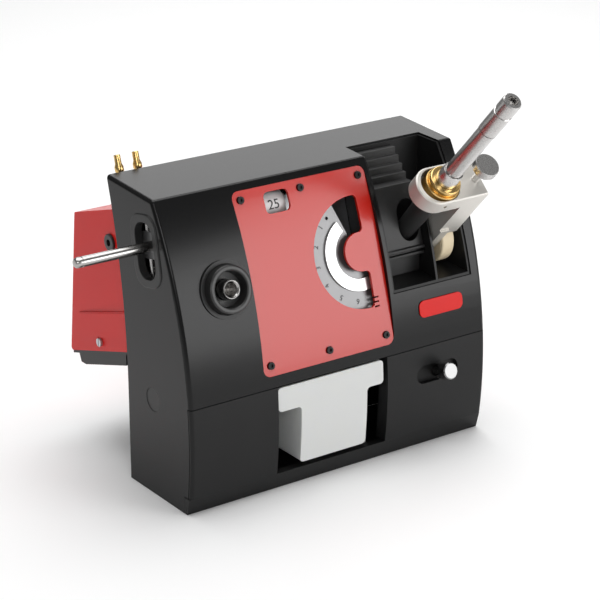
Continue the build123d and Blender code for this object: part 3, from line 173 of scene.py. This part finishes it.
# %% [markdown]
# Metals reflect everything, so their colour is the colour of the reflection. Bead blasting gives the neck
# arm a dull even grain and polishing leaves almost none. Turning stretches the grain round the axis, but the
# turned finishes here keep the same unstretched grain as the rest.

# %% Metals
blasted = finish("blasted_aluminium", (0.62, 0.6, 0.56), (0.68, 0.66, 0.62), 90, (0.42, 0.5), 0.35, Metallic=0.75)
silver = finish("silver_aluminium", (0.17, 0.17, 0.172), (0.2, 0.2, 0.203), 50, (0.34, 0.42), 0.03, Metallic=0.85)
turned_brass = finish("turned_brass", (0.72, 0.47, 0.16), (0.8, 0.56, 0.24), 90, (0.2, 0.3), 0.15, Metallic=1.0)
copper = finish("copper", (0.72, 0.35, 0.2), (0.78, 0.42, 0.26), 90, (0.25, 0.35), 0.1, Metallic=1.0)
steel = finish("turned_steel", (0.55, 0.54, 0.53), (0.62, 0.61, 0.6), 120, (0.22, 0.32), 0.15, Metallic=1.0)
polished = finish("polished_steel", (0.4, 0.39, 0.38), (0.46, 0.45, 0.44), 100, (0.2, 0.28), 0.05, Metallic=1.0)
zinc = finish("zinc_steel", (0.5, 0.51, 0.53), (0.58, 0.59, 0.6), 50, (0.3, 0.42), 0.2, Metallic=0.9)
# The ring finish is the aluminium made over three times lighter: a painted highlight for the sector's raised
# ring.
ring_painted_highlight = finish("ring_painted_highlight", (0.6, 0.6, 0.6), (0.66, 0.66, 0.66), 70, (0.3, 0.36), 0.03, Metallic=0.9)
# The knob finish is the turned steel made much darker: painted shade that keeps the sheet's reflection in the
# knob's face grey.
knob_steel_painted_shade = finish("knob_steel_painted_shade", (0.2, 0.2, 0.2), (0.25, 0.25, 0.25), 100, (0.2, 0.3), 0.05, Metallic=1.0)
black_screw = finish(
    "black_oxide",
    (0.006, 0.006, 0.006),
    (0.01, 0.01, 0.01),
    90,
    (0.35, 0.5),
    0.1,
    Specular_IOR_Level=0.2,
)
print("materials so far", len(bpy.data.materials))

# %% [markdown]
# The moulded parts are duller than paint. The tip bin is a milky translucent tub, so some light passes
# through it. The wheel is cast nylon, and the boot round the spindle is soft black rubber.

# %% Plastics and rubber
black_plastic = finish("black_plastic", (0.011, 0.011, 0.011), (0.017, 0.017, 0.017), 120, (0.42, 0.55), 0.3)
milky = finish(
    "milky_plastic",
    (0.62, 0.63, 0.61),
    (0.7, 0.71, 0.69),
    25,
    (0.42, 0.5),
    0.15,
    Subsurface_Weight=0.35,
    Subsurface_Scale=0.008,
    Subsurface_Radius=(1.0, 1.0, 0.8),
)
counter_white = finish("counter_white", (0.7, 0.7, 0.7), (0.76, 0.76, 0.76), 60, (0.4, 0.5), 0.1)
cream_nylon = finish("cream_nylon", (0.66, 0.55, 0.36), (0.74, 0.63, 0.44), 60, (0.4, 0.5), 0.2)
rubber = finish("black_rubber", (0.012, 0.012, 0.012), (0.018, 0.018, 0.018), 90, (0.3, 0.42), 0.25)
digit_ink = finish("digit_ink", (0.02, 0.02, 0.022), (0.03, 0.03, 0.03), 60, (0.5, 0.6), 0.1)
print("materials in all", len(bpy.data.materials))

# %% [markdown]
# Each CAD node takes the finish of its material slot, except a few that need their own, such as the front
# panel, whose red is a little darker than the rear box's.

# %% Dress the CAD nodes
finish_of_slot = {
    "gloss_black": gloss_black,
    "satin_black": satin_black,
    "red": red_paint,
    "zinc_steel": zinc,
    "black_steel": black_screw,
    "steel": steel,
    "polished_steel": polished,
    "blasted_aluminium": blasted,
    "silver_aluminium": silver,
    "brass": turned_brass,
    "copper": copper,
    "black_plastic": black_plastic,
    "white_plastic": milky,
    "cream_nylon": cream_nylon,
    "black_rubber": rubber,
}
# The latch knob's own finish is darkened steel, painted shade on its face.
own_finish = {"front_panel": panel_red, "count_drum": counter_white, "latch_knob": knob_steel_painted_shade}


def dress(piece, material):
    """Put one material on every slot of a piece."""
    piece.data.materials.clear()
    piece.data.materials.append(material)


for node, piece in nodes.items():
    dress(piece, own_finish.get(node, finish_of_slot[slot_of_node[node]]))
print("dressed", len(nodes), "nodes")


# %% [markdown]
# Real sheet metal, castings and mouldings have no sharp edges: a thin highlight runs along each one. A
# copy of the CAD mesh is merged into one skin, its flat areas are dissolved into single faces, and a Bevel
# modifier rounds what is still sharp. A Weighted Normal modifier then keeps the large faces flat.


# %% Rounded copies
def adopt(piece, name, node):
    """Name a new piece, give it the node's finish and body, and let it stand for the node."""
    piece.name = name
    piece.data.name = name
    dress(piece, own_finish.get(node, finish_of_slot[slot_of_node[node]]))
    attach(piece, body_of_node[node])
    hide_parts(node)


def bevel_edges(piece, width, steps, sharpest=35):
    """Round the edges of a piece that are sharper than an angle, width in mm."""
    pick(piece)
    bevel = piece.modifiers.new("rounding", "BEVEL")
    bevel.width = width * MM
    bevel.segments = steps
    bevel.limit_method = "ANGLE"
    bevel.angle_limit = math.radians(sharpest)
    bpy.ops.object.modifier_apply(modifier=bevel.name)
    bpy.ops.object.shade_smooth_by_angle(angle=math.radians(32))
    weighting = piece.modifiers.new("flat_faces", "WEIGHTED_NORMAL")
    weighting.keep_sharp = True
    bpy.ops.object.modifier_apply(modifier=weighting.name)


def rounded_copy(node, name, width, steps):
    """Copy a node, merge its triangles into one skin and round its edges."""
    source = nodes[node]
    piece = bpy.data.objects.new(name, source.data.copy())
    bpy.context.collection.objects.link(piece)
    pick(piece)
    bpy.ops.object.mode_set(mode="EDIT")
    bpy.ops.mesh.select_all(action="SELECT")
    bpy.ops.mesh.remove_doubles(threshold=0.00001)
    bpy.ops.mesh.dissolve_limited(angle_limit=math.radians(0.6))
    bpy.ops.mesh.normals_make_consistent(inside=False)
    bpy.ops.object.mode_set(mode="OBJECT")
    bevel_edges(piece, width, steps)
    adopt(piece, name, node)
    print(name, "faces", len(piece.data.polygons))
    return piece


# %% [markdown]
# The neck arm is machined and then bead blasted, which leaves a broad bright bevel round its top. The two
# lower covers have the next widest edges, so the seam above them shows as a bright line.

# %% Round the large pieces
for node, name, width, steps in (
    ("neck_arm", "neck_arm_blasted", 1.3, 4),
    ("front_panel", "front_panel_painted", 0.5, 2),
    ("tip_bin", "tip_bin_moulded", 0.6, 2),
    ("rear_box", "rear_box_painted", 0.8, 2),
    ("side_slot_trim", "side_slot_trim_moulded", 0.8, 3),
    ("nozzle_block", "nozzle_block_moulded", 0.8, 2),
    ("badge_plate", "badge_plate_blank", 0.3, 2),
    ("housing_shell", "housing_shell_coated", 0.6, 2),
    ("lower_left_cover", "lower_left_cover_coated", 1.4, 3),
    ("lower_right_cover", "lower_right_cover_coated", 1.4, 3),
    ("base_tray", "base_tray_coated", 0.5, 2),
):
    rounded_copy(node, name, width, steps)


# %% [markdown]
# Rods, nuts, knobs and fittings are turned on a lathe. A ring of edges is extruded from one step of the
# outline to the next and resized each time, which is what a lathe tool does to a bar. The two ends meet
# at the axis or close on themselves, and the doubles are merged.


# %% Turning helper
ON_AXIS = 0.01
COLUMNS = 96


def turned(name, outline, place, sides=COLUMNS, edge=0.25):
    """Turn an outline of (radius, height) steps in mm about the Z of a placement."""
    bpy.ops.object.select_all(action="DESELECT")
    radius, height = outline[0]
    bpy.ops.mesh.primitive_circle_add(vertices=sides, radius=radius * MM, location=(0, 0, height * MM))
    piece = bpy.context.object
    bpy.ops.object.mode_set(mode="EDIT")
    bpy.ops.mesh.select_all(action="SELECT")
    for (radius, height), (next_radius, next_height) in zip(outline, outline[1:]):
        rise = (next_height - height) * MM
        bpy.ops.mesh.extrude_region_move(TRANSFORM_OT_translate={"value": (0, 0, rise)})
        growth = next_radius / radius
        bpy.ops.transform.resize(value=(growth, growth, 1), center_override=(0, 0, next_height * MM))
    bpy.ops.mesh.select_all(action="SELECT")
    bpy.ops.mesh.remove_doubles(threshold=0.000012)
    bpy.ops.mesh.normals_make_consistent(inside=False)
    bpy.ops.object.mode_set(mode="OBJECT")
    piece.name = name
    pick(piece)
    bpy.ops.object.transform_apply(location=True, rotation=True, scale=True)
    if edge:
        bevel_edges(piece, edge, 2, 25)
    piece.matrix_world = place
    pick(piece)
    bpy.ops.object.transform_apply(location=True, rotation=True, scale=True)
    bpy.ops.object.shade_smooth_by_angle(angle=math.radians(32))
    print(name, "faces", len(piece.data.polygons))
    return piece


# %% [markdown]
# The welding neck is a stepped steel tube. It has a wider foot above the nut, a dark groove where two
# lengths meet, a second groove two thirds of the way up, and an open socket in its tip.

# %% Neck tube and nut
tube = turned(
    "neck_tube_turned",
    [(3.0, -14), (8.8, -14), (8.8, 7.9), (10.9, 7.9), (10.9, 11), (10.3, 23), (10.0, 23.6), (8.0, 23.7)]
    + [(8.0, 25), (8.8, 25.1), (8.8, 58), (8.8, 90.6), (9.3, 90.8), (9.3, 93), (8.2, 93.1), (8.2, 93.9)]
    + [(9.4, 94), (9.4, 122), (8.6, 122.4), (8.6, 125), (9.3, 125.4), (9.3, 139.6), (8.2, 141)]
    + [(5.2, 141), (5.2, 132), (3.0, 132), (3.0, -14)],
    NECK_PLACE,
    edge=0,
)
adopt(tube, "neck_tube_turned", "neck_tube")
nut = turned(
    "collar_nut_turned",
    [(8.85, -13.5), (18.1, -13.5), (18.1, -0.4), (17.4, 1.0), (15, 1.0), (15, 3.0), (16, 3.4)]
    + [(16, 6.6), (15.2, 7.4), (11.2, 7.4), (10.6, 6.6), (8.85, 6.6), (8.85, -13.5)],
    NECK_PLACE,
)
adopt(nut, "collar_nut_turned", "collar_nut")


# %% [markdown]
# The thumb screw and the latch knob are gripped by hand, so their rims are knurled. Every second column
# of rim points is pulled in a little, which leaves straight ridges like those a knurling wheel presses.


# %% Knurling helper
def knurl(piece, place, radius, low, high, depth):
    """Pull in every second column of points on a rim, sizes in mm."""
    back = place.inverted()
    for vertex in piece.data.vertices:
        local = back @ vertex.co
        flat = math.hypot(local.x, local.y)
        if flat < (radius - 0.3) * MM or not low * MM <= local.z <= high * MM:
            continue
        column = round(math.atan2(local.y, local.x) / math.tau * COLUMNS)
        if column % 2:
            local.x *= 1 - depth / radius
            local.y *= 1 - depth / radius
            vertex.co = place @ local


# %% Thumb screw
THUMB_PLACE = NECK_PLACE @ Matrix.Translation((38 * MM, -3 * MM, 0))
thumb = turned(
    "thumb_screw_turned",
    [(ON_AXIS, -14), (4, -14), (4, 16.5), (6.5, 17), (6.5, 18), (12, 18), (12.7, 18.7), (12.7, 25.8)]
    + [(12.0, 26.5), (ON_AXIS, 26.5)],
    THUMB_PLACE,
    edge=0,
)
knurl(thumb, THUMB_PLACE, 12.7, 18.5, 26, 0.35)
adopt(thumb, "thumb_screw_turned", "thumb_screw")

# %% [markdown]
# The latch knob sticks out of the right cover at the dial's lean. The side rod is a polished pin with a
# shallow groove and a rounded nose, which a robot can push to select the next job.

# %% Latch knob and side rod
LATCH_PLACE = frame_matrix((116.5, -60.54, 79), (1, 0, 0), DIAL_OUT)
knob = turned(
    "latch_knob_turned",
    [(ON_AXIS, -5.4), (6, -5.4), (6, 3), (7.8, 3), (8.5, 3.7), (8.5, 18), (7.4, 19), (ON_AXIS, 19)],
    LATCH_PLACE,
    edge=0,
)
knurl(knob, LATCH_PLACE, 8.5, 4.5, 17, 0.2)
adopt(knob, "latch_knob_turned", "latch_knob")
ROD_PLACE = frame_matrix((-159.5, 11.63, 246.94), (0, 1, 0), (-1, 0, 0))
rod = turned(
    "side_rod_polished",
    [(ON_AXIS, 0), (5, 0), (5, 82.5), (4.6, 82.9), (4.6, 83.7), (5, 84.1), (5, 87), (4.5, 88.8)]
    + [(3.4, 90.1), (1.8, 90.5), (ON_AXIS, 90.5)],
    ROD_PLACE,
    edge=0,
)
adopt(rod, "side_rod_polished", "side_rod")

# %% [markdown]
# The spindle is a steel bushing inside a rubber boot. The boot's lip stands proud of the black ring and
# funnels the torch towards the middle.

# %% Spindle mouth
PORT_PLACE = on_dial(-120.7, 8.6, 0)
bushing = turned(
    "spindle_bushing_turned",
    [(6.7, -16), (9.1, -16), (9.1, 9.2), (8.7, 9.9), (8.2, 10), (7.7, 9.8), (6.7, 8.4), (6.7, -16)],
    PORT_PLACE,
    edge=0,
)
adopt(bushing, "spindle_bushing_turned", "spindle_bushing")
boot = turned(
    "port_boot_moulded",
    [(24, -5), (24, 0.5), (23.2, 1.2), (22.6, 6), (23.0, 7.4), (22.6, 9.2), (21.2, 10), (18.6, 10)]
    + [(17.4, 9.2), (16.8, 4), (16.2, -1), (9.9, -2.4), (9.9, -4.4), (16, -5), (24, -5)],
    PORT_PLACE,
    edge=0.3,
)
adopt(boot, "port_boot_moulded", "port_boot")

# %% [markdown]
# Behind the top left corner stand two brass hose fittings, one for each air line. One is turned, given
# its hexagon, and copied to the second place.

# %% Air fittings
AIR_LEAN = math.radians(17.1)
AIR_OUT = Vector((0, math.sin(AIR_LEAN), math.cos(AIR_LEAN)))


FITTING_PITCH = 20
FITTING_PLACE = frame_matrix((-152.5, 82.1, 263.055), (1, 0, 0), AIR_OUT)
stem = turned(
    "air_fitting_left",
    [(1.5, 18), (3.4, 18), (3.4, 32), (4.4, 34.2), (4.4, 38), (3.2, 41), (3.2, 49), (2.8, 49.5)]
    + [(1.5, 49.5), (1.5, 18)],
    FITTING_PLACE,
    sides=48,
    edge=0.15,
)
hexagon = turned(
    "air_hexagon_left",
    [(1.6, 18), (5.8, 18), (5.8, 22.6), (1.6, 22.6), (1.6, 18)],
    FITTING_PLACE,
    sides=6,
    edge=0.25,
)
for piece, right_name in ((stem, "air_fitting_right"), (hexagon, "air_hexagon_right")):
    adopt(piece, piece.name, "air_fittings")
    twin = bpy.data.objects.new(right_name, piece.data.copy())
    bpy.context.collection.objects.link(twin)
    pick(twin)
    twin.location.x = FITTING_PITCH * MM
    bpy.ops.object.transform_apply(location=True, rotation=True, scale=True)
    adopt(twin, right_name, "air_fittings")
print("two air fittings")

# %% [markdown]
# The cream wheel guides the neck's hose. It is a turned nylon disc with a shallow hollow on each side and
# softly rounded rims.

# %% Guide wheel
WHEEL_PLACE = frame_matrix((136.5, -12.55, 200.0), (0, 1, 0), (1, 0, 0))
wheel = turned(
    "guide_wheel_turned",
    [(5.05, 0), (9, 0), (9, 0.8), (19, 0.8), (19, 0), (23, 0), (24, 1), (24, 14), (23, 15), (19, 15)]
    + [(19, 14.2), (9, 14.2), (9, 15), (5.05, 15), (5.05, 0)],
    WHEEL_PLACE,
    edge=0.2,
)
adopt(wheel, "guide_wheel_turned", "guide_wheel")

# %% [markdown]
# The dial's sector has a raised, rounded ring, and the highlight along it is painted: the ring's faces take a
# second finish, a much lighter copy of the aluminium. They are found by their corners' distance from the sector's
# axis.

# %% Painted highlight on the sector's ring
SECTOR_PLACE = on_dial(39, 12.5, 12.5)
RING_INSIDE = 25
RING_OUTSIDE = 39
sector = rounded_copy("feed_sector", "feed_sector_satin", 0.5, 3)
sector.data.materials.append(ring_painted_highlight)
to_axis = SECTOR_PLACE.inverted()
for face in sector.data.polygons:
    corners = [to_axis @ sector.data.vertices[index].co for index in face.vertices]
    reach = [math.hypot(corner.x, corner.y) for corner in corners]
    lowest = min(corner.z for corner in corners)
    if min(reach) > RING_INSIDE * MM and max(reach) < RING_OUTSIDE * MM and lowest > 0.2 * MM:
        face.material_index = 1
print("bright ring faces", sum(face.material_index for face in sector.data.polygons))

# %% [markdown]
# The dial carries plain numbers round its arc, and the counter drum shows two digits. Text is made a mesh
# first and then moved, so its place ends up in its points.


# %% Numbers
def number(text, height, place, body, name, material):
    """Flat digits, height in mm, laid on the XY of a placement and riding a body."""
    bpy.ops.object.select_all(action="DESELECT")
    bpy.ops.object.text_add()
    words = bpy.context.object
    words.data.body = text
    words.data.size = height * MM
    words.data.extrude = 0.0001
    words.data.align_x = "CENTER"
    words.data.align_y = "CENTER"
    pick(words)
    bpy.ops.object.convert(target="MESH")
    piece = bpy.context.object
    piece.name = name
    piece.matrix_world = place
    bpy.ops.object.transform_apply(location=True, rotation=True, scale=True)
    dress(piece, material)
    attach(piece, body)
    return piece


DIAL_MIDDLE = on_dial(39, 12.5, 12.4)
NUMBER_RADIUS = 47.5
for index, angle in enumerate(range(140, 261, 24)):
    turn = Matrix.Rotation(math.radians(angle - 90), 4, "Z")
    spot = DIAL_MIDDLE @ turn @ Matrix.Translation((0, NUMBER_RADIUS * MM, 0))
    number(str(index + 1), 7.5, spot, "sector", f"dial_number_{index + 1}", digit_ink)
print("dial numbers done")

COUNT_MIDDLE = on_dial(-43.5, 74, 29)
DRUM_RADIUS = 14
digits = number("25", 13, Matrix.Identity(4), "count_drum", "counter_digits", digit_ink)
for vertex in digits.data.vertices:
    turn = vertex.co.y / (DRUM_RADIUS * MM)
    reach = DRUM_RADIUS * MM + 0.0002 + vertex.co.z
    vertex.co = COUNT_MIDDLE @ Vector((vertex.co.x, math.sin(turn) * reach, math.cos(turn) * reach))
print("counter digits wrapped round the drum")

# %% [markdown]
# The floor is plain and pale. A large soft light overhead and one behind give the top its grey sheen. A
# sheet at the right front reflects in the panel and turns most of it a paler red, and a small light fills
# from the left. The world is dim so that black paint stays black.

# %% Floor
bpy.ops.object.select_all(action="DESELECT")
bpy.ops.mesh.primitive_plane_add(size=14, location=(0, 0, -0.0002))
floor = bpy.context.object
floor.name = "studio_floor"
dress(floor, finish("studio_floor", (0.94, 0.94, 0.94), (0.96, 0.96, 0.96), 2, (0.8, 0.9), 0.0))


# %% Lights
def softbox(name, place, aim, size, power):
    """Rectangular soft light at a place, turned towards a point."""
    bpy.ops.object.light_add(type="AREA", location=place)
    light = bpy.context.object
    light.name = name
    light.data.shape = "RECTANGLE"
    light.data.size, light.data.size_y = size
    light.data.energy = power
    light.rotation_euler = (Vector(aim) - Vector(place)).to_track_quat("-Z", "Y").to_euler()
    return light


middle = (0, 0, 0.18)
panel_spot = (-0.04, -0.05, 0.2)
softbox("overhead", (0.2, 0.3, 2.6), middle, (2.6, 2.6), 68)
softbox("back_sheet", (1.6, 2.1, 1.6), middle, (2.4, 1.6), 20)
softbox("panel_sheet", (1.36, -2.1, 0.55), panel_spot, (1.45, 1.3), 27)
softbox("left_front", (-1.6, -2.6, 1.6), middle, (1.0, 1.0), 16)
world = bpy.context.scene.world or bpy.data.worlds.new("studio")
bpy.context.scene.world = world
world.use_nodes = True
world.node_tree.nodes["Background"].inputs["Color"].default_value = (1, 1, 1, 1)
world.node_tree.nodes["Background"].inputs["Strength"].default_value = 0.2
bpy.context.scene.view_settings.view_transform = "Standard"
print("lights placed")

# %% [markdown]
# The camera stands low and to the left of the front, and looks slightly down. A long lens keeps the
# cabinet's sides nearly parallel.

# %% Camera
CAMERA_YAW = 0.61972
CAMERA_PITCH = 0.36283
forward = Vector(
    (
        math.sin(CAMERA_YAW) * math.cos(CAMERA_PITCH),
        math.cos(CAMERA_YAW) * math.cos(CAMERA_PITCH),
        -math.sin(CAMERA_PITCH),
    )
)
bpy.ops.object.camera_add(location=(-1.11972, -1.55547, 0.88824))
camera = bpy.context.object
camera.rotation_euler = forward.to_track_quat("-Z", "Y").to_euler()
camera.data.lens = 126.95
camera.data.sensor_width = 36
bpy.context.scene.camera = camera
print("camera aims along", [round(part, 3) for part in forward])
